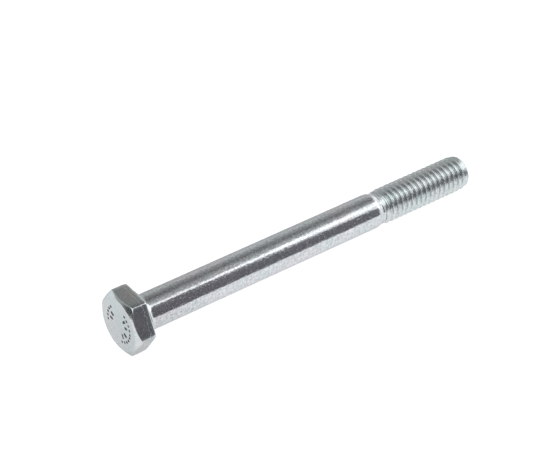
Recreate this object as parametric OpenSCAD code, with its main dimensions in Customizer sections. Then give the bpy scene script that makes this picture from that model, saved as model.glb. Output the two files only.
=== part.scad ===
// Hexagon head bolt, partly threaded, with a metric coarse right-hand thread.
// Lengths are in millimetres and angles in degrees. The bolt lies along +X,
// from the head to the end of the thread, with one pair of flats facing up and
// down. The origin is the centre of the bearing face under the head.
// The real bolt is one forging. The head, the shank and the thread are its
// three portions, and they meet face to face.

/* [Head] */
// Width across the flats
across_flats = 9.8; // [9.6:0.1:10.4]
// Distance across the rounded corners
across_corners = 11.1; // [11:0.1:11.6]
// Height of the head, from the bearing face to the top face
head_height = 3.5; // [2.8:0.1:4.2]
// Diameter of the circle that the chamfer leaves on the top face
top_face_diameter = 9; // [8.6:0.1:9.5]
// Slope of the top chamfer, measured from the top face
top_chamfer_angle = 30; // [20:1:35]
// Diameter of the bearing face
bearing_diameter = 9.2; // [8.6:0.1:9.4]
// How far the bearing face stands out from the flats' lower edges
bearing_height = 0.2; // [0.1:0.05:0.5]
// Length of the fillet where the shank leaves the bearing face
fillet_length = 1.3; // [0.3:0.1:2]
// How far the fillet stands out from the shank at the bearing face
fillet_width = 1; // [0.3:0.05:1.2]

/* [Shank] */
// Length of the bolt under the head, with the thread
bolt_length = 65; // [50:1:90]
// Diameter of the plain shank
shank_diameter = 6; // [5.9:0.02:6]
// Length of the cone where the shank narrows to the rolled blank
shoulder_length = 0.8; // [0.2:0.1:1.2]

/* [Thread] */
// Length of the threaded end, with its run-out
thread_length = 18.4; // [12:0.2:24]
// Distance between two turns of the thread
pitch = 1; // [0.8:0.1:1.2]
// Diameter over the crests of the thread
crest_diameter = 5.92; // [5.8:0.02:5.98]
// Diameter of the flat end of the bolt
end_diameter = 5.3; // [4.6:0.1:5.5]
// Slope of the chamfer at the end of the bolt, measured from the axis
end_chamfer_angle = 22; // [15:1:45]
// Turns over which the groove deepens, where it leaves the shank
runout_turns = 1.5; // [1:0.5:4]
// Turns over which the groove fades, at the end of the bolt
fade_turns = 1.2; // [0.4:0.1:2]
// Sides of one turn of the thread
sides = 36; // [24:4:40]

/* [Marks] */
// Depth of the plain tally marks in the top face
mark_depth = 0.12; // [0.05:0.01:0.2]
// Width of one mark
mark_width = 0.4; // [0.3:0.05:0.5]
// Distance of the marks from the axis
mark_radius = 3; // [2.6:0.1:3.4]

/* [Hidden] */
$fn = 96;

bright_zinc = [0.74, 0.76, 0.77];
overlap = 0.01;

rounded_radius = across_corners / 2;
top_face_radius = top_face_diameter / 2;
top_chamfer_depth = (rounded_radius - top_face_radius) * tan(top_chamfer_angle);
edge_break = 0.1;
fillet_steps = 8;
shank_start = fillet_length;
shank_radius = shank_diameter / 2;

// The thread is rolled on a blank of the pitch diameter: what leaves the
// groove rises into the crest. Flanks are at 60 degrees to each other.
crest_width = pitch / 8;
root_width = pitch / 4;
flank_width = (pitch - crest_width - root_width) / 2;
thread_depth = flank_width / tan(30);
crest_radius = crest_diameter / 2;
root_radius = crest_radius - thread_depth;
blank_radius = crest_radius - thread_depth / 2;
end_radius = end_diameter / 2;
thread_start = bolt_length - thread_length;
shank_end = thread_start - shoulder_length;

// One pitch of the groove, as distances along the axis and heights in the
// thread's depth: root, flank, crest, and the flank back to the next root.
profile_place = [0, root_width, root_width + flank_width, pitch - flank_width];
profile_height = [0, 0, 1, 1];
points_per_turn = len(profile_place);
lead_in = pitch / 10;
turns = floor((thread_length - 2 * lead_in - profile_place[points_per_turn - 1]) / pitch);
last_row = turns * points_per_turn + 1;

// Three groups of marks, as angles about the axis
mark_groups = [14, 150, 222];
mark_step = 15;

// ---- head ----

module along_x() {
    rotate([0, 90, 0]) children();
}

// The hexagon, with a corner to each side, so that two flats are level
module hexagon_prism() {
    along_x() rotate([0, 0, 90])
        translate([0, 0, -head_height])
            cylinder(h = head_height - bearing_height, r = across_flats / 2 / cos(30), $fn = 6);
}

// The round outline of the head: top chamfer, rounded corners, and the broken
// lower corners
module turned_envelope() {
    foot = -bearing_height + overlap;
    along_x() rotate_extrude()
        polygon([
            [0, -head_height],
            [top_face_radius, -head_height],
            [rounded_radius, -head_height + top_chamfer_depth],
            [rounded_radius, foot - edge_break],
            [rounded_radius - edge_break, foot],
            [0, foot],
        ]);
}

// The raised bearing face, with the fillet that runs into the shank
module bearing_ring_and_fillet() {
    along_x() rotate_extrude()
        polygon(concat(
            [[0, -bearing_height - overlap],
             [bearing_diameter / 2, -bearing_height - overlap],
             [bearing_diameter / 2, 0]],
            [for (i = [0 : fillet_steps])
                let (turn = 90 * i / fillet_steps)
                [shank_radius + fillet_width * (1 - sin(turn)), fillet_length * (1 - cos(turn))]],
            [[0, fillet_length]]
        ));
}

// One group: a row of short bars round the axis, and two longer ones inside it
module mark_group() {
    for (i = [-2 : 2])
        rotate([i * mark_step, 0, 0])
            translate([0, mark_radius, 0]) bar(mark_width);
    for (i = [-1, 1])
        rotate([i * mark_step, 0, 0])
            translate([0, mark_radius - 2.5 * mark_width, 0]) bar(2 * mark_width);
}

module bar(length) {
    cube([2 * mark_depth, length, mark_width], center = true);
}

module head() {
    color(bright_zinc)
        difference() {
            union() {
                intersection() {
                    hexagon_prism();
                    turned_envelope();
                }
                bearing_ring_and_fillet();
            }
            for (turn = mark_groups)
                translate([-head_height, 0, 0]) rotate([turn, 0, 0]) mark_group();
        }
}

// ---- shank ----

module shank() {
    color(bright_zinc)
        along_x() {
            translate([0, 0, shank_start])
                cylinder(h = shank_end - shank_start, r = shank_radius);
            translate([0, 0, shank_end])
                cylinder(h = shoulder_length, r1 = shank_radius, r2 = blank_radius);
        }
}

// ---- thread ----

// Where a row of points lies along the axis. The first and the last row are
// the flat ends, and every other row climbs one pitch in a turn.
function row_place(row, side) =
    row == 0 ? 0
    : row == last_row ? thread_length
    : lead_in + pitch * floor((row - 1) / points_per_turn)
        + profile_place[(row - 1) % points_per_turn] + pitch * side / sides;

// The groove's depth as a share: nothing at the shank, full, and nothing at the end
function groove_share(place) =
    let (deepening = (place - lead_in) / (runout_turns * pitch),
         fading = (thread_length - lead_in - place) / (fade_turns * pitch))
    max(0, min(1, deepening, fading));

// The end's chamfer
function chamfer_radius(place) =
    end_radius + (thread_length - place) * tan(end_chamfer_angle);

function rolled_radius(row, place) =
    let (height = profile_height[(row - 1) % points_per_turn],
         full = root_radius + height * thread_depth)
    blank_radius + groove_share(place) * (full - blank_radius);

function row_radius(row, place) =
    row == 0 ? blank_radius
    : row == last_row ? end_radius
    : min(rolled_radius(row, place), chamfer_radius(place));

function thread_point(row, side) =
    let (place = row_place(row, side),
         radius = row_radius(row, place),
         turn = 360 * side / sides)
    [thread_start + place, radius * cos(turn), radius * sin(turn)];

function at(row, side) = row * sides + side;

// The two triangles between two rows and two sides
function patch(row, side) = [
    [at(row, side), at(row + 1, side + 1), at(row, side + 1)],
    [at(row, side), at(row + 1, side), at(row + 1, side + 1)],
];

// Where the helix closes, a row meets the one a whole turn further on
function seam_patch(row) =
    let (last = sides - 1, next = row + points_per_turn)
    [
        [at(row, last), at(next + 1, 0), at(next, 0)],
        [at(row, last), at(row + 1, last), at(next + 1, 0)],
    ];

// The first turn starts from the flat end, so its rows fan out from there
function first_fan() =
    let (last = sides - 1, full = points_per_turn + 1)
    concat(
        [for (row = [0 : points_per_turn - 1]) [at(0, last), at(row + 1, 0), at(row, 0)]],
        [[at(0, last), at(1, last), at(points_per_turn, 0)],
         [at(1, last), at(full, 0), at(points_per_turn, 0)]]
    );

// The last turn ends at the flat end in the same way
function last_fan() =
    let (last = sides - 1, from = last_row - 1 - points_per_turn)
    concat(
        [[at(from, last), at(from + 1, last), at(last_row - 1, 0)],
         [at(from + 1, last), at(last_row, 0), at(last_row - 1, 0)]],
        [for (row = [from + 1 : last_row - 1])
            [at(row, last), at(row + 1, last), at(last_row, 0)]]
    );

module thread() {
    points = [for (row = [0 : last_row]) for (side = [0 : sides - 1]) thread_point(row, side)];
    patches = [
        for (row = [0 : last_row - 1]) for (side = [0 : sides - 2])
            each patch(row, side)
    ];
    seam = [for (row = [1 : last_row - 2 - points_per_turn]) each seam_patch(row)];
    near_end = [[for (side = [0 : sides - 1]) at(0, side)]];
    far_end = [[for (side = [0 : sides - 1]) at(last_row, sides - 1 - side)]];
    color(bright_zinc)
        polyhedron(points, concat(patches, seam, first_fan(), last_fan(), near_end, far_end));
}

head();
shank();
thread();
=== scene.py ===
import math

import bmesh
import bpy
from mathutils import Matrix, Vector, noise


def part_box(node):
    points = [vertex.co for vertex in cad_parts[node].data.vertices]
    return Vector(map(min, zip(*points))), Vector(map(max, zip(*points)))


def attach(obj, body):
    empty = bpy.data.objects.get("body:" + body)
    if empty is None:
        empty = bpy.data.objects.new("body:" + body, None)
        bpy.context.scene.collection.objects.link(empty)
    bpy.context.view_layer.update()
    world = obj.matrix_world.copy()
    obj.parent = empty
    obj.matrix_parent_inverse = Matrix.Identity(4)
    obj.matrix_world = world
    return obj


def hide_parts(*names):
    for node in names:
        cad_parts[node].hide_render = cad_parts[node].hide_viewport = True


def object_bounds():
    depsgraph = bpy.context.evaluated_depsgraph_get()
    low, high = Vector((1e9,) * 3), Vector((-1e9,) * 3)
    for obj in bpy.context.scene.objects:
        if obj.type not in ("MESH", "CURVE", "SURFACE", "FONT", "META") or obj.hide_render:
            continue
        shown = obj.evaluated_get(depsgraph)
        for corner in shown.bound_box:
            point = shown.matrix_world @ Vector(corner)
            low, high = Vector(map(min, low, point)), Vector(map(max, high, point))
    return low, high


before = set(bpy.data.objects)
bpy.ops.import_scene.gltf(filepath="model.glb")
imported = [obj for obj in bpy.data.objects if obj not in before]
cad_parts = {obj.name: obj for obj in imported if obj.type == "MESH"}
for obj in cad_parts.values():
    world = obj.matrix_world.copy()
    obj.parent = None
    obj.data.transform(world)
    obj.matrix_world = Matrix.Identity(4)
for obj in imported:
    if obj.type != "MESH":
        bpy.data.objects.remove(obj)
cad_low, cad_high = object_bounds()

# Everything is in metres, in the frame's own axes: the bolt lies along +X, with
# the centre of its bearing face at the origin.
MM = 0.001
BODY = "root"

# ---- sizes ----

head_low, head_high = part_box("head")
shank_low, shank_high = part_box("shank")
thread_low, thread_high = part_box("thread")

top_face = head_low.x
fillet_end = head_high.x
flat_reach = head_high.z
corner_reach = head_high.y
shank_start = shank_low.x
shank_radius = shank_high.z
thread_start = thread_low.x
tip = thread_high.x
crest_radius = thread_high.z

# Head
top_face_radius = 4.5 * MM
plain_face_radius = 0.97 * top_face_radius
top_chamfer_slope = math.tan(math.radians(31))
corner_rounding = 0.25 * MM
face_edge_rounding = 0.12 * MM
chamfer_edge_rounding = 0.16 * MM
fillet_width = 1.0 * MM

# The bearing face stands out from the flats' lower edges, on a ring that is a
# little wider at its foot
bearing_height = 0.2 * MM
bearing_radius = 4.6 * MM
ring_foot_radius = bearing_radius + 0.15 * MM
ring_foot_rounding = 0.03 * MM
ring_face_radius = bearing_radius - 0.05 * MM
ring_face_rounding = 0.06 * MM

# The flats' lower edges are rolled over, and the corners there are broken
rim_length = 0.45 * MM
rim_depth = 0.17 * MM
rim_end = -bearing_height - 0.02 * MM
rim_start = rim_end - rim_length
rim_bend_length = 0.3 * rim_length
rim_bend_depth = 0.35 * rim_depth
rim_bend_rounding = 0.2 * MM
rim_edge_rounding = 0.06 * MM
rim_break = 0.05 * MM
rim_break_rounding = 0.04 * MM
corner_break = 0.1 * MM

# The rough strip on the flats, next to the rolled-over edge. Its upper edge
# wanders and is frayed, and it ends short of the plain part of the flats.
strip_width = 0.95 * MM
strip_depth = 0.03 * MM
strip_softness = 0.08 * MM
strip_wander = 0.35 * MM
strip_wander_rate = 9
strip_fray = 0.16 * MM
strip_fray_rate = 40
plain_flat_share = 0.4

# The marks pressed into the top face: in each of three groups, five short bars
# round the axis and two longer ones inside them
mark_depth = 0.12 * MM
mark_radius = 3.0 * MM
mark_width = 0.4 * MM
mark_softness = 0.09 * MM
mark_groups = (14, 150, 222)
mark_step = 15
inner_mark_radius = mark_radius - 2.5 * mark_width

# Shank
# Length of the painted shade on the shank next to the head
painted_shade_length = 15 * MM
shoulder_length = 0.85 * MM
shoulder_rounding = 0.5 * MM
even_wall_margin = 1.5 * MM

# Thread: the groove deepens over its run-out and fades before the tip
pitch = 1.0 * MM
thread_depth = 0.541 * MM
root_radius = crest_radius - thread_depth
blank_radius = crest_radius - thread_depth / 2
lead_in = pitch / 10
runout = 1.5 * pitch
fade = 1.2 * pitch

# One turn of the thread, in pitches, and its roundings as shares of the depth
crest_centre = 0.625
crest_half_width = 0.0625
root_from_crest = 0.375
crest_rounding = 0.14
root_rounding = 0.3

tip_radius = 2.65 * MM
tip_slope = math.tan(math.radians(22))
tip_break = 0.12 * MM
tip_rounding = 0.1 * MM

# Mesh divisions: columns go round the axis, and rows and rings go along the outline
HEAD_COLUMNS = 360
SHANK_COLUMNS = 192
THREAD_COLUMNS = 144
ROUNDING_STEPS = 5
FACE_RINGS = 72
FLAT_ROWS = 26
FILLET_ROWS = 20
SHANK_ROWS = 60
ROWS_PER_TURN = 20
TIP_RINGS = 6

# Points nearer than this are merged, and edges sharper than this stay crisp
MERGE_DISTANCE = 1e-7
SHARP_ANGLE = math.radians(50)

# A rounding takes at most this share of the straight lengths beside it
LONGEST_CUT = 0.45

# The rows of the head's outline with the flats' finish. They start with the last
# strip of the chamfer's rounded lower edge, and leave out the flats' last strip.
FIRST_FLAT_ROW = FACE_RINGS + 2 * (ROUNDING_STEPS + 1) - 1
FLATS = range(FIRST_FLAT_ROW, FIRST_FLAT_ROW + FLAT_ROWS + 1)


# ---- mesh ----

def smooth_step(low, high, value):
    share = min(1.0, max(0.0, (value - low) / (high - low)))
    return share * share * (3 - 2 * share)


def smooth_min(a, b, blend):
    """The lower of a and b, with the corner between them rounded off."""
    share = max(blend - abs(a - b), 0.0) / blend
    return min(a, b) - share * share * blend / 4


def smooth_max(a, b, blend):
    return -smooth_min(-a, -b, blend)


def rounded(corners):
    """Points along an outline whose corners are (x, radius, rounding)."""
    points = []
    for i, (x, r, rounding) in enumerate(corners):
        here = Vector((x, r))
        if rounding == 0 or i in (0, len(corners) - 1):
            points.append(here)
            continue
        back = Vector(corners[i - 1][:2]) - here
        ahead = Vector(corners[i + 1][:2]) - here
        cut = min(rounding, LONGEST_CUT * back.length, LONGEST_CUT * ahead.length)
        first = here + back.normalized() * cut
        last = here + ahead.normalized() * cut
        for step in range(ROUNDING_STEPS + 1):
            t = step / ROUNDING_STEPS
            points.append(first * (1 - t) ** 2 + here * 2 * t * (1 - t) + last * t * t)
    return points


def skin(name, outline_at, columns, second_rows=range(0)):
    """A closed solid round the X axis. outline_at(angle) gives the same number of
    (x, radius) points for every angle, from the axis at one end to the other.
    Faces in second_rows take the piece's second material."""
    mesh = bmesh.new()
    rings = []
    for column in range(columns):
        angle = 2 * math.pi * column / columns
        side = Vector((0, math.cos(angle), math.sin(angle)))
        outline = outline_at(angle)
        rings.append([mesh.verts.new(side * r + Vector((x, 0, 0))) for x, r in outline])
    for column, ring in enumerate(rings):
        following = rings[(column + 1) % columns]
        for row in range(len(ring) - 1):
            corners = (ring[row], ring[row + 1], following[row + 1], following[row])
            face = mesh.faces.new(corners)
            face.material_index = int(row in second_rows)
    bmesh.ops.remove_doubles(mesh, verts=mesh.verts, dist=MERGE_DISTANCE)
    bmesh.ops.recalc_face_normals(mesh, faces=mesh.faces)
    for face in mesh.faces:
        face.smooth = True
    for edge in mesh.edges:
        if len(edge.link_faces) == 2 and edge.calc_face_angle() > SHARP_ANGLE:
            edge.smooth = False
    data = bpy.data.meshes.new(name)
    mesh.to_mesh(data)
    mesh.free()
    piece = bpy.data.objects.new(name, data)
    bpy.context.scene.collection.objects.link(piece)
    return piece


# ---- head ----

def hexagon_reach(angle):
    """Distance from the axis to the hexagon's side, with its corners rounded."""
    from_flat = abs((angle % (math.pi / 3)) - math.pi / 6)
    return smooth_min(flat_reach / math.cos(from_flat), corner_reach, corner_rounding)


def bar_share(along, across, length):
    """How deep a pressed bar is at a point, from 0 outside it to 1 inside."""
    half = length / 2
    half_width = mark_width / 2
    ends = 1 - smooth_step(half - mark_softness, half + mark_softness, abs(along))
    sides = 1 - smooth_step(half_width - mark_softness, half_width + mark_softness, abs(across))
    return ends * sides


def pressed(angle, radius):
    """Share of the marks' depth at a point of the top face."""
    outer_bars = [(step, mark_radius, mark_width) for step in range(-2, 3)]
    inner_bars = [(step, inner_mark_radius, 2 * mark_width) for step in (-1, 1)]
    deepest = 0.0
    for group in mark_groups:
        for step, place, length in outer_bars + inner_bars:
            turn = angle - math.radians(group + step * mark_step)
            along = radius * math.cos(turn) - place
            across = radius * math.sin(turn)
            deepest = max(deepest, bar_share(along, across, length))
    return deepest


def torn(angle, x):
    """How much lower the rough strip lies on a flat, with its uneven edge."""
    across, up = math.cos(angle), math.sin(angle)
    wander = noise.noise(Vector((across, up, 0)) * strip_wander_rate)
    fray = noise.noise(Vector((across, up, 1)) * strip_fray_rate)
    edge = -bearing_height - strip_width + strip_wander * wander + strip_fray * fray
    return strip_depth * smooth_step(edge - strip_softness, edge + strip_softness, x)


def top_face_points(angle):
    radii = [plain_face_radius * i / FACE_RINGS for i in range(FACE_RINGS + 1)]
    return [Vector((top_face + mark_depth * pressed(angle, r), r)) for r in radii]


def foot_points(angle):
    """From the end of a flat over its rolled edge to the start of the fillet."""
    reach = hexagon_reach(angle)
    broken_reach = min(reach, corner_reach - corner_break)
    return rounded([
        (rim_start, reach - torn(angle, rim_start), 0),
        (rim_end - rim_bend_length, reach - rim_bend_depth, rim_bend_rounding),
        (rim_end, reach - rim_depth, rim_edge_rounding),
        (-bearing_height, broken_reach - rim_depth - rim_break, rim_break_rounding),
        (-bearing_height, ring_foot_radius, ring_foot_rounding),
        (0, ring_face_radius, ring_face_rounding),
        (0, shank_radius + fillet_width, 0),
    ])


def fillet_points():
    """A quarter of an ellipse, from the bearing face to the shank."""
    points = []
    for i in range(1, FILLET_ROWS + 1):
        turn = math.pi / 2 * i / FILLET_ROWS
        x = fillet_end * (1 - math.cos(turn))
        points.append(Vector((x, shank_radius + fillet_width * (1 - math.sin(turn)))))
    return points


def head_outline(angle):
    reach = hexagon_reach(angle)
    chamfer_foot = top_face + (reach - top_face_radius) * top_chamfer_slope
    top_edge = rounded([
        (top_face, plain_face_radius, 0),
        (top_face, top_face_radius, face_edge_rounding),
        (chamfer_foot, reach, chamfer_edge_rounding),
        (chamfer_foot + plain_flat_share * (rim_end - chamfer_foot), reach, 0),
    ])
    flat_from = top_edge[-1].x
    flat = []
    for i in range(1, FLAT_ROWS):
        x = flat_from + (rim_start - flat_from) * i / FLAT_ROWS
        flat.append(Vector((x, reach - torn(angle, x))))
    side = top_edge[1:] + flat + foot_points(angle) + fillet_points()
    return top_face_points(angle) + side + [Vector((fillet_end, 0))]


# ---- shank ----

def shank_outline(angle):
    shoulder = thread_start - shoulder_length
    wall_end = shoulder - even_wall_margin
    wall = [
        Vector((shank_start + (wall_end - shank_start) * i / SHANK_ROWS, shank_radius))
        for i in range(SHANK_ROWS + 1)
    ]
    end = rounded([
        (wall_end, shank_radius, 0),
        (shoulder, shank_radius, shoulder_rounding),
        (thread_start, blank_radius, 0),
        (thread_start, 0, 0),
    ])
    return [Vector((shank_start, 0))] + wall + end[1:]


# ---- thread ----

def thread_reach(x, angle):
    """Radius of the rolled thread. It climbs one pitch in a turn, to the right."""
    place = x - thread_start
    turns = (place - lead_in) / pitch - angle / (2 * math.pi)
    from_crest = abs((turns - crest_centre + 0.5) % 1 - 0.5)
    height = (root_from_crest - from_crest) / (root_from_crest - crest_half_width)
    height = smooth_max(smooth_min(height, 1.0, crest_rounding), 0.0, root_rounding)
    share = max(0.0, min(1.0, (place - lead_in) / runout, (tip - lead_in - x) / fade))
    rolled = blank_radius + share * (root_radius + height * thread_depth - blank_radius)
    chamfered = smooth_min(rolled, tip_radius + (tip - x) * tip_slope, tip_rounding)
    return smooth_min(chamfered, tip_radius - tip_break + (tip - x), tip_rounding)


def thread_outline(angle):
    rows = round((tip - thread_start) / pitch * ROWS_PER_TURN)
    wall = []
    for row in range(rows + 1):
        x = thread_start + (tip - thread_start) * row / rows
        wall.append(Vector((x, thread_reach(x, angle))))
    end_reach = wall[-1].y
    end = [Vector((tip, end_reach * (1 - i / TIP_RINGS))) for i in range(1, TIP_RINGS + 1)]
    return [Vector((thread_start, 0))] + wall + end


# ---- materials ----

def add(tree, kind, **settings):
    """A new node, with its settings."""
    node = tree.nodes.new(kind)
    for name, value in settings.items():
        setattr(node, name, value)
    return node


def noise_at(tree, place, scale, detail, rough=0.55, stretch=(1, 1, 1)):
    """Noise from 0 to 1, at so many waves per millimetre along each axis."""
    mapping = add(tree, "ShaderNodeMapping")
    mapping.inputs["Scale"].default_value = [scale / MM * s for s in stretch]
    tree.links.new(place, mapping.inputs["Vector"])
    node = add(tree, "ShaderNodeTexNoise")
    node.inputs["Scale"].default_value = 1.0
    node.inputs["Detail"].default_value = detail
    node.inputs["Roughness"].default_value = rough
    tree.links.new(mapping.outputs["Vector"], node.inputs["Vector"])
    return node.outputs["Fac"]


def ranged(tree, value, low, high, to_low, to_high):
    """The value, with low to high mapped on to to_low to to_high."""
    node = add(tree, "ShaderNodeMapRange")
    node.inputs["From Min"].default_value = low
    node.inputs["From Max"].default_value = high
    node.inputs["To Min"].default_value = to_low
    node.inputs["To Max"].default_value = to_high
    tree.links.new(value, node.inputs["Value"])
    return node.outputs["Result"]


def maths(tree, operation, a, b=0.0):
    node = add(tree, "ShaderNodeMath", operation=operation)
    for i, value in enumerate((a, b)):
        if isinstance(value, (int, float)):
            node.inputs[i].default_value = value
        else:
            tree.links.new(value, node.inputs[i])
    return node.outputs[0]


def blended(tree, share, a, b, mode="MIX"):
    """Colours a and b, mixed by share. Each is a link or fixed values."""
    node = add(tree, "ShaderNodeMix", data_type="RGBA", blend_type=mode)
    sockets = [s for s in node.inputs if s.enabled]
    for socket, value in zip(sockets, (share, a, b)):
        if isinstance(value, (int, float)):
            socket.default_value = value
        elif isinstance(value, tuple):
            socket.default_value = (*value, 1)
        else:
            tree.links.new(value, socket)
    return [s for s in node.outputs if s.enabled][0]


def axis_radius(tree, split):
    """Distance from the bolt's axis."""
    across = maths(tree, "POWER", split.outputs["Y"], 2.0)
    up = maths(tree, "POWER", split.outputs["Z"], 2.0)
    return maths(tree, "SQRT", maths(tree, "ADD", across, up))


def painted_root_shade(tree, split):
    """Thread roots are painted a little darker, as shade."""
    return ranged(tree, axis_radius(tree, split), root_radius, crest_radius, 0.92, 1.0)


def painted_mark_shade(tree, split):
    """The pressed marks in the top face are painted dark at their bottoms, as shade."""
    x = split.outputs["X"]
    deep = ranged(tree, x, top_face + 0.02 * MM, top_face + 0.7 * mark_depth, 0, 1)
    on_face = ranged(tree, x, 0.5 * top_face, 0.4 * top_face, 1, 0)
    radius = axis_radius(tree, split)
    inside = ranged(tree, radius, 0.9 * top_face_radius, 0.94 * top_face_radius, 1, 0)
    pressed_in = maths(tree, "MULTIPLY", maths(tree, "MULTIPLY", deep, inside), on_face)
    return maths(tree, "SUBTRACT", 1.0, maths(tree, "MULTIPLY", pressed_in, 0.8))


def painted_neck_shade(tree, split):
    """The shank is painted a little darker towards the head, as shade."""
    return ranged(tree, split.outputs["X"], 0, painted_shade_length, 0.86, 1.0)


def zinc(name, cool, warm, roughness, scratch, grain, rim, shading=None):
    """Bright zinc plate: faint tints, drawn scratches, fine pits and uneven gloss.
    scratch and grain are the strengths of the drawn lines and of the speckle,
    rim is the tint of grazing reflections, and shading, if given, multiplies
    painted shade into the colour."""
    material = bpy.data.materials.new(name)
    material.use_nodes = True
    tree = material.node_tree
    shader = tree.nodes["Principled BSDF"]
    place = add(tree, "ShaderNodeTexCoord").outputs["Object"]

    tint = ranged(tree, noise_at(tree, place, scale=0.22, detail=2), 0.38, 0.62, 0, 1)
    colour = blended(tree, tint, cool, warm)

    speckle = noise_at(tree, place, scale=3.2, detail=6, rough=0.7)
    shade = ranged(tree, speckle, 0.38, 0.62, 1 - 0.10 * grain, 1 + 0.03 * grain)
    drawn = noise_at(tree, place, scale=1.0, detail=5, rough=0.65, stretch=(0.22, 5, 5))
    lines = ranged(tree, drawn, 0.3, 0.7, 1 - 0.06 * scratch, 1 + 0.02 * scratch)
    shade = maths(tree, "MULTIPLY", shade, lines)

    pit_field = noise_at(tree, place, scale=4.5, detail=2, rough=0.5)
    pits = ranged(tree, pit_field, 0.66, 0.72, 0, 1)
    pit_shade = maths(tree, "SUBTRACT", 1.0, maths(tree, "MULTIPLY", pits, 0.25 * grain))
    shade = maths(tree, "MULTIPLY", shade, pit_shade)
    if shading:
        split = add(tree, "ShaderNodeSeparateXYZ")
        tree.links.new(place, split.inputs[0])
        shade = maths(tree, "MULTIPLY", shade, shading(tree, split))
    grey = add(tree, "ShaderNodeCombineColor")
    for channel in ("Red", "Green", "Blue"):
        tree.links.new(shade, grey.inputs[channel])
    colour = blended(tree, 1.0, colour, grey.outputs[0], "MULTIPLY")
    tree.links.new(colour, shader.inputs["Base Color"])

    matt = noise_at(tree, place, scale=4.5, detail=3, rough=0.6, stretch=(0.45, 1, 1))
    gloss = ranged(tree, matt, 0.4, 0.7, roughness * 0.8, roughness + 0.06 * grain)
    gloss = maths(tree, "ADD", gloss, maths(tree, "MULTIPLY", pits, 0.2))
    tree.links.new(gloss, shader.inputs["Roughness"])

    ripple = noise_at(tree, place, scale=4.0, detail=1, rough=0.5, stretch=(0.4, 1, 1))
    height = maths(tree, "MULTIPLY", drawn, 0.3 * scratch)
    height = maths(tree, "ADD", height, maths(tree, "MULTIPLY", ripple, 0.45 * grain))
    height = maths(tree, "SUBTRACT", height, maths(tree, "MULTIPLY", pits, 0.5 * grain))
    bump = add(tree, "ShaderNodeBump")
    bump.inputs["Strength"].default_value = 0.3
    bump.inputs["Distance"].default_value = 0.03 * MM
    tree.links.new(height, bump.inputs["Height"])
    tree.links.new(bump.outputs["Normal"], shader.inputs["Normal"])
    shader.inputs["Metallic"].default_value = 1.0
    shader.inputs["Specular Tint"].default_value = (rim, rim, rim, 1)
    return material


face_zinc = zinc(
    "zinc_on_head",
    cool=(0.53, 0.59, 0.595),
    warm=(0.58, 0.6, 0.605),
    roughness=0.14,
    scratch=0.5,
    grain=1.3,
    rim=0.6,
    shading=painted_mark_shade,
)
flat_zinc = zinc(
    "zinc_on_flats",
    cool=(0.435, 0.465, 0.475),
    warm=(0.515, 0.495, 0.475),
    roughness=0.2,
    scratch=1.0,
    grain=1.6,
    rim=0.72,
)
shank_zinc = zinc(
    "zinc_on_shank",
    cool=(0.585, 0.625, 0.64),
    warm=(0.62, 0.628, 0.648),
    roughness=0.11,
    scratch=1.4,
    grain=2.6,
    rim=0.72,
    shading=painted_neck_shade,
)
thread_zinc = zinc(
    "zinc_on_thread",
    cool=(0.59, 0.645, 0.65),
    warm=(0.625, 0.655, 0.66),
    roughness=0.24,
    scratch=0.3,
    grain=2.2,
    rim=0.7,
    shading=painted_root_shade,
)


# ---- pieces ----

def stand_in(piece, node, *finishes):
    """The piece takes the place of a CAD node, with its own finish."""
    for finish in finishes:
        piece.data.materials.append(finish)
    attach(piece, BODY)
    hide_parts(node)


forged_head = skin("forged_head", head_outline, HEAD_COLUMNS, FLATS)
stand_in(forged_head, "head", face_zinc, flat_zinc)
stand_in(skin("plain_shank", shank_outline, SHANK_COLUMNS), "shank", shank_zinc)
stand_in(skin("rolled_thread", thread_outline, THREAD_COLUMNS), "thread", thread_zinc)


# ---- floor ----

TABLE_REACH = 2.0
TABLE_FRONT = -45 * MM
TABLE_BACK = 24 * MM
TABLE_GAP = 0.01 * MM


def table_material():
    material = bpy.data.materials.new("pale_table")
    material.use_nodes = True
    shader = material.node_tree.nodes["Principled BSDF"]
    shader.inputs["Base Color"].default_value = (0.9, 0.9, 0.9, 1)
    shader.inputs["Roughness"].default_value = 0.9
    shader.inputs["Specular IOR Level"].default_value = 0.0
    shader.inputs["Emission Color"].default_value = (1, 1, 1, 1)
    shader.inputs["Emission Strength"].default_value = 0.75
    return material


def add_table():
    """A pale table top. The bolt rests on its head's lower edge and on the last
    crests of its thread, so the table slopes a little against the bolt's axis.
    The metal doesn't reflect two parts of it, as if the table ended in front of
    the bolt and behind its shank."""
    slope = math.atan2(flat_reach - crest_radius, tip)
    material = table_material()
    for name, left, front, right, back, reflected in (
        ("table_top", -TABLE_REACH, TABLE_FRONT, TABLE_REACH, TABLE_BACK, True),
        ("table_past_head", -TABLE_REACH, TABLE_BACK, 0, TABLE_REACH, True),
        ("table_back", 0, TABLE_BACK, TABLE_REACH, TABLE_REACH, False),
        ("table_front", -TABLE_REACH, -TABLE_REACH, TABLE_REACH, TABLE_FRONT, False),
    ):
        corners = [(left, front, 0), (right, front, 0), (right, back, 0), (left, back, 0)]
        data = bpy.data.meshes.new(name)
        data.from_pydata(corners, [], [(0, 1, 2, 3)])
        data.materials.append(material)
        table = bpy.data.objects.new(name, data)
        table.location = (0, 0, -flat_reach - TABLE_GAP)
        table.rotation_euler = (0, -slope, 0)
        table.visible_glossy = reflected
        bpy.context.scene.collection.objects.link(table)


# ---- studio ----

WHITE = (1.0, 1.0, 1.0)
DARK_ROOM = (0.21, 0.203, 0.225)

# A side of the room is a direction. Light from it starts at one cosine between
# the ray and that direction, and is full at another.
BACKDROP_SIDE = Vector((0.6246, 0.781, 0))
BACKDROP_COSINES = (-0.1, 0.45)

# The backdrop behind the bolt, as (height of the ray, brightness)
BACKDROP = (
    (0.0, 0.75),
    (0.27, 0.79),
    (0.44, 0.69),
    (0.585, 0.48),
    (0.707, 0.38),
    (0.8, 0.27),
    (1.0, 0.2),
)

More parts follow.
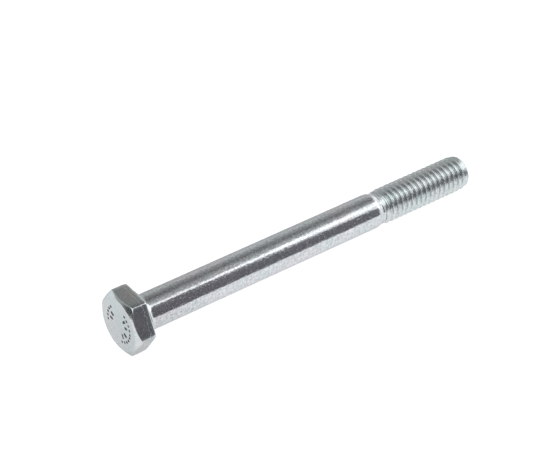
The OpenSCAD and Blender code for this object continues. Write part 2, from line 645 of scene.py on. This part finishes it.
GLOW_SIDE = Vector((0.486, -0.091, 0.869))
GLOW_COSINES = (0.93, 0.995)
GLOW_STRENGTH = 0.26

# Cards that only the metal reflects, as (side, two cosines, brightness): past the
# tip, overhead, up behind the head, and a dark one that faces the head's top face
CARDS = (
    (Vector((1, 0, 0)), 0.68, 0.82, 1.5),
    (Vector((-0.3, -0.3, 0.906)), 0.7, 0.87, 1.75),
    (Vector((-0.5, 0.7, 0.51)), 0.6, 0.9, 0.55),
    (Vector((-0.99, 0.0, 0.14)), 0.86, 0.97, 0.09),
)


def backdrop_colour(tree, height):
    backdrop = add(tree, "ShaderNodeValToRGB")
    ramp = backdrop.color_ramp
    while len(ramp.elements) < len(BACKDROP):
        ramp.elements.new(0.5)
    for element, (at, value) in zip(ramp.elements, BACKDROP):
        element.position = at
        element.color = (value, value, value, 1)
    tree.links.new(height, backdrop.inputs["Fac"])
    return backdrop.outputs["Color"]


def add_world():
    """A studio round the table: a pale backdrop behind the bolt that fades
    upwards, a faint glow overhead, the cards, and a darker room elsewhere. The
    camera itself sees white."""
    world = bpy.data.worlds.new("studio")
    world.use_nodes = True
    bpy.context.scene.world = world
    tree = world.node_tree
    tree.nodes.clear()
    ray = add(tree, "ShaderNodeTexCoord").outputs["Generated"]
    split = add(tree, "ShaderNodeSeparateXYZ")
    tree.links.new(ray, split.inputs[0])

    def facing(side, low, high):
        """From 0 to 1 as the ray turns towards a side."""
        toward = add(tree, "ShaderNodeVectorMath", operation="DOT_PRODUCT")
        toward.inputs[1].default_value = side
        tree.links.new(ray, toward.inputs[0])
        return ranged(tree, toward.outputs["Value"], low, high, 0, 1)

    backdrop = backdrop_colour(tree, split.outputs["Z"])
    studio = blended(tree, facing(BACKDROP_SIDE, *BACKDROP_COSINES), DARK_ROOM, backdrop)
    glow = maths(tree, "MULTIPLY", facing(GLOW_SIDE, *GLOW_COSINES), GLOW_STRENGTH)
    studio = blended(tree, glow, studio, WHITE, "ADD")
    ray_kind = add(tree, "ShaderNodeLightPath")
    is_glossy = ray_kind.outputs["Is Glossy Ray"]
    for side, low, high, value in CARDS:
        share = maths(tree, "MULTIPLY", facing(side, low, high), is_glossy)
        studio = blended(tree, share, studio, (value, value, value))
    seen = blended(tree, ray_kind.outputs["Is Camera Ray"], studio, WHITE)
    shine = add(tree, "ShaderNodeBackground")
    tree.links.new(seen, shine.inputs["Color"])
    out = add(tree, "ShaderNodeOutputWorld")
    tree.links.new(shine.outputs[0], out.inputs["Surface"])


# ---- lights ----

SKY_POWER = 0.5
SKY_SPREAD = math.radians(100)
SKY_TILT = (math.radians(15), math.radians(-10), 0)

SOFTBOX_POWER = 0.27
SOFTBOX_SIZE = 0.294
SOFTBOX_PLACE = (0.332, -0.124, 0.272)

STRIP_POWER = 0.054
STRIP_LENGTH = 0.26
STRIP_WIDTH = 0.05
STRIP_PLACE = (0.13, -0.145, 0.3185)
STRIP_AIM = Vector((0.13, 0, 0))


def area_light(name, shape, power, size):
    light = bpy.data.lights.new(name, "AREA")
    light.shape = shape
    light.size = size
    light.energy = power
    return light


def turn_to(thing, across, up, back):
    """Turns a light or camera: its own axes are across, up and back."""
    thing.rotation_mode = "QUATERNION"
    thing.rotation_quaternion = Matrix((across, up, back)).transposed().to_quaternion()


def add_lamp(light, place, aim):
    """An area light at a place, facing aim, with its length along the bolt."""
    lamp = bpy.data.objects.new(light.name, light)
    lamp.location = place
    away = (lamp.location - aim).normalized()
    along = (Vector((1, 0, 0)) - away * away.x).normalized()
    turn_to(lamp, along, away.cross(along), away)
    bpy.context.scene.collection.objects.link(lamp)


def add_sky():
    """A wide soft sun that lights the table and isn't reflected."""
    sun = bpy.data.lights.new("soft_sky", "SUN")
    sun.energy = SKY_POWER
    sun.angle = SKY_SPREAD
    sky = bpy.data.objects.new("soft_sky", sun)
    sky.rotation_euler = SKY_TILT
    sky.visible_glossy = False
    bpy.context.scene.collection.objects.link(sky)


def add_lights():
    """The soft sky, a round softbox past the tip, and a narrow strip that carries
    its highlight on to the head."""
    add_sky()
    softbox = area_light("softbox", "DISK", SOFTBOX_POWER, SOFTBOX_SIZE)
    strip = area_light("strip", "RECTANGLE", STRIP_POWER, STRIP_LENGTH)
    strip.size_y = STRIP_WIDTH
    add_lamp(softbox, SOFTBOX_PLACE, (cad_low + cad_high) / 2)
    add_lamp(strip, STRIP_PLACE, STRIP_AIM)


# ---- camera ----

CAMERA_AZIMUTH = math.radians(-38.65)
CAMERA_ELEVATION = math.radians(38.9)
CAMERA_ROLL = math.radians(2.81)
CAMERA_DISTANCE = 340.4 * MM
CAMERA_AIM = Vector((0.4618 * tip, 6.24 * MM, 0.06 * MM))
CLIP_START = 0.01

# Blender takes these two in millimetres
LENS = 140.4
SENSOR_WIDTH = 36


def add_camera():
    """A long lens in front of the bolt, towards its head's end and well above."""
    data = bpy.data.cameras.new("camera")
    data.lens = LENS
    data.sensor_width = SENSOR_WIDTH
    data.clip_start = CLIP_START
    camera = bpy.data.objects.new("camera", data)
    back = Vector((
        math.sin(CAMERA_AZIMUTH) * math.cos(CAMERA_ELEVATION),
        -math.cos(CAMERA_AZIMUTH) * math.cos(CAMERA_ELEVATION),
        math.sin(CAMERA_ELEVATION),
    ))
    level = Vector((math.cos(CAMERA_AZIMUTH), math.sin(CAMERA_AZIMUTH), 0))
    right = level * math.cos(CAMERA_ROLL) + back.cross(level) * math.sin(CAMERA_ROLL)
    camera.location = CAMERA_AIM + back * CAMERA_DISTANCE
    turn_to(camera, right, back.cross(right), back)
    bpy.context.scene.collection.objects.link(camera)
    bpy.context.scene.camera = camera


add_table()
add_world()
add_lights()
add_camera()
bpy.context.scene.view_settings.view_transform = "Standard"
